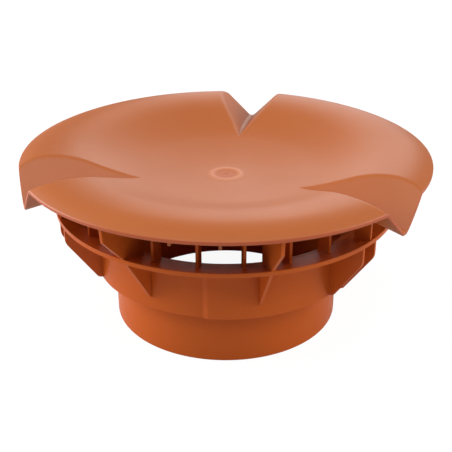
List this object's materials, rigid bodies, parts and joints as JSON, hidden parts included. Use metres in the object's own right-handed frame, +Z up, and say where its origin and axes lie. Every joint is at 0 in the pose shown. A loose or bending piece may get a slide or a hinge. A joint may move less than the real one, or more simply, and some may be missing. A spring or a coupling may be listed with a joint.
{
  "type": "roof vent cap",
  "caption": "Round plastic roof vent cap: dished lid with rain valleys over a louvred collar that sits on a vent pipe.",
  "frame": {"origin": "on the cap's axis at the collar's lower end", "axes": "+Z up along the axis, -Y through the middle of one of the three lid sectors, one valley along +Y"},
  "size_m": [0.279, 0.279, 0.1231],
  "materials": {
    "base_plastic": "injection-moulded terracotta plastic, satin to glossy",
    "lid_plastic": "injection-moulded terracotta plastic, satin, with a faint texture on top"
  },
  "bodies": {
    "root": {"collar": "base_plastic", "vent_base": "base_plastic", "cap_lid": "lid_plastic"}
  },
  "joints": []
}
